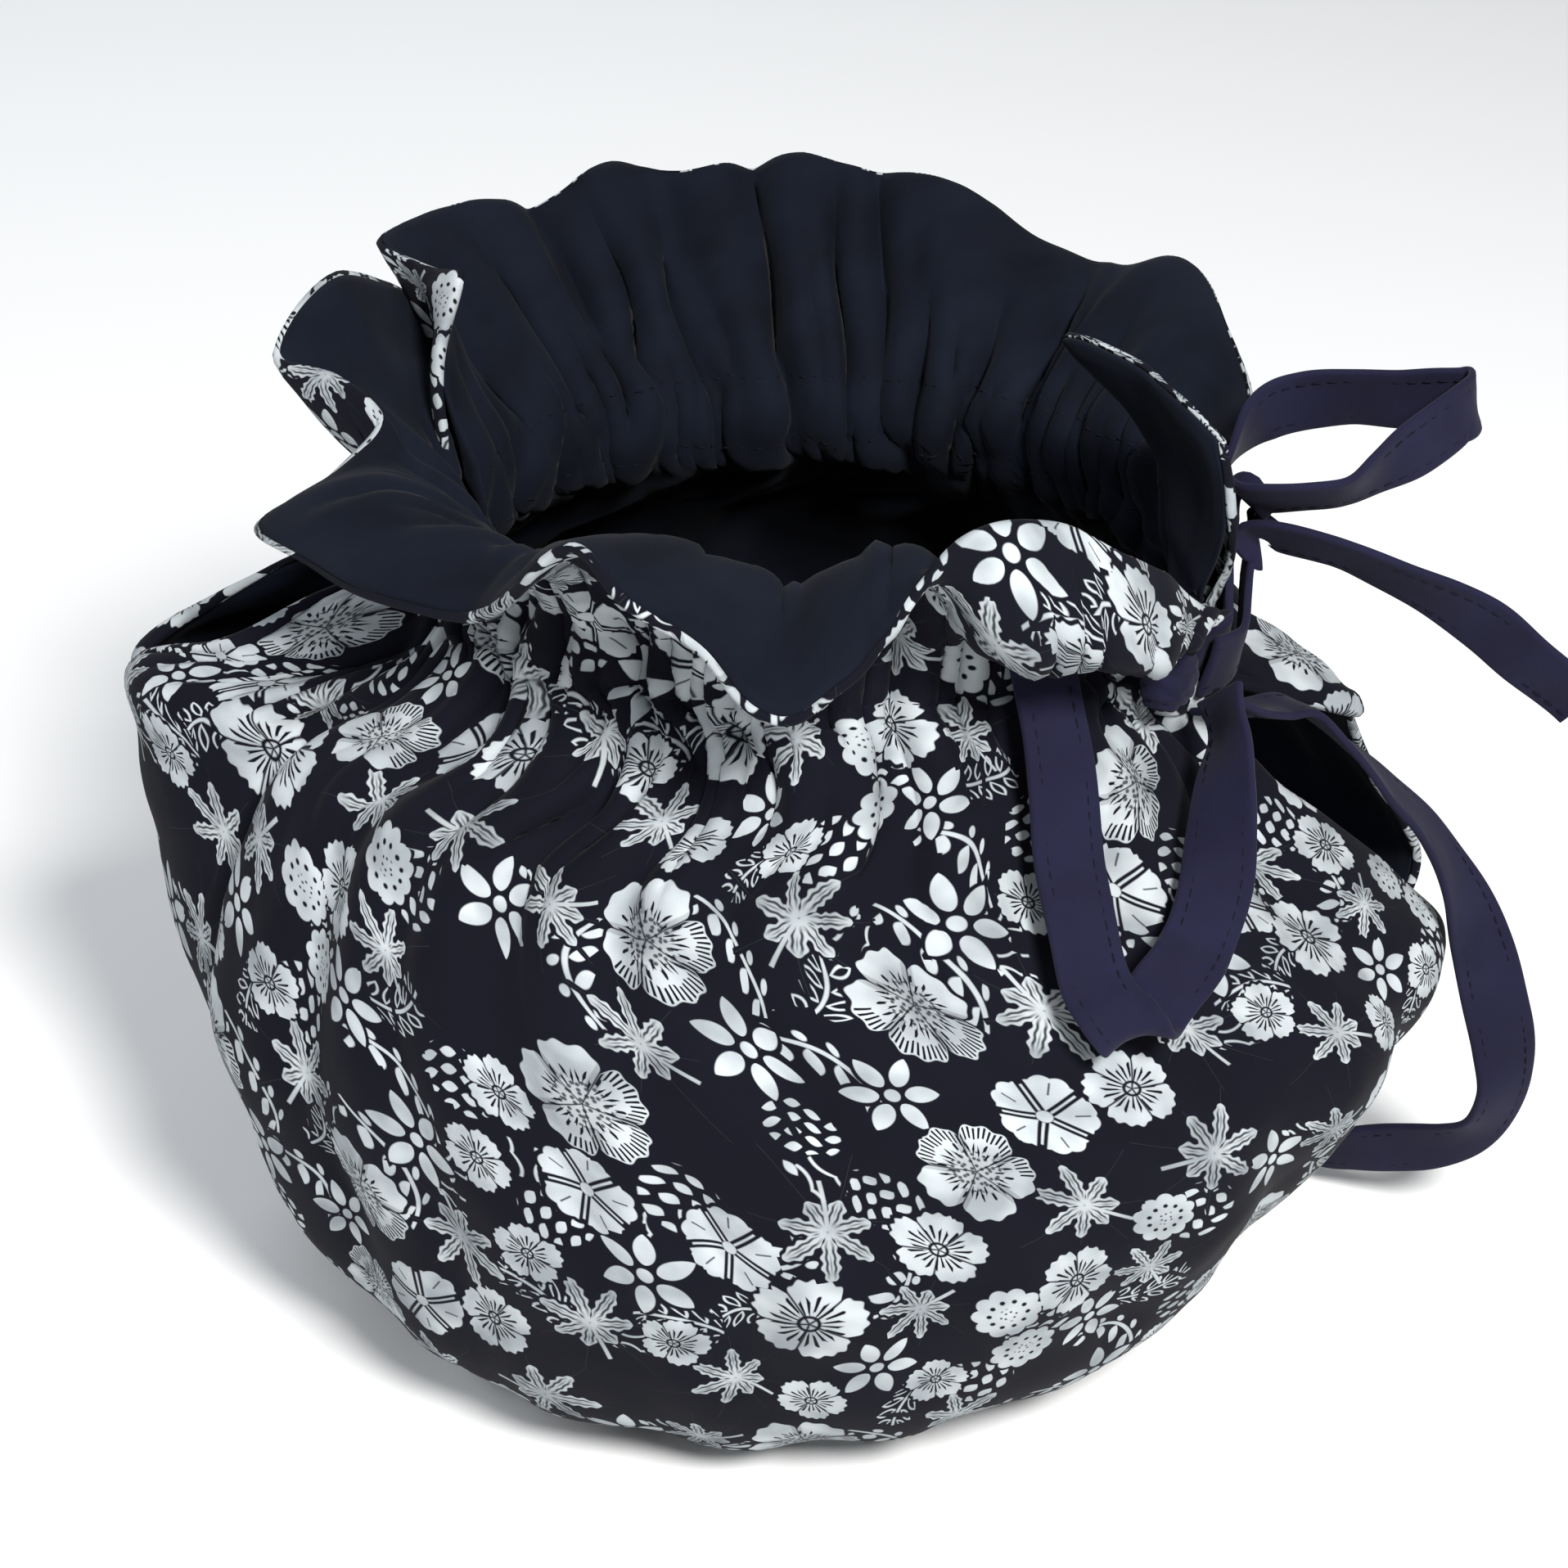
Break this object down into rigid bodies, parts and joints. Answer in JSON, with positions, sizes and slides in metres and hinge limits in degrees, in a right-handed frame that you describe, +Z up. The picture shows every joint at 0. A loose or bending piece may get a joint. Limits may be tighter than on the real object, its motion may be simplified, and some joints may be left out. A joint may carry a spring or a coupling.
{
  "type": "tea cosy",
  "caption": "Gathered cloth tea cosy with an elastic neck, an open ruffle, a spout hole, a handle slit and a tied bow at the handle side.",
  "frame": {"origin": "centre of the bounding box, at the height of the bottom hem", "axes": "+Z up, +X towards the handle side and the bow, -Y towards the front panel"},
  "size_m": [0.2226, 0.1874, 0.1584],
  "materials": {
    "print": "matt woven cotton, dark ground with pale printed flowers and leaves",
    "lining": "matt plain woven cotton, very dark navy",
    "tie": "matt plain woven cotton, dark navy violet"
  },
  "bodies": {
    "root": {"outer_front": "print", "outer_back": "print", "lining_front": "lining", "lining_back": "lining", "tie_loop_front": "tie", "tie_loop_upper": "tie", "tie_end_long": "tie", "tie_end_curled": "tie", "tie_knot": "tie"}
  },
  "joints": []
}
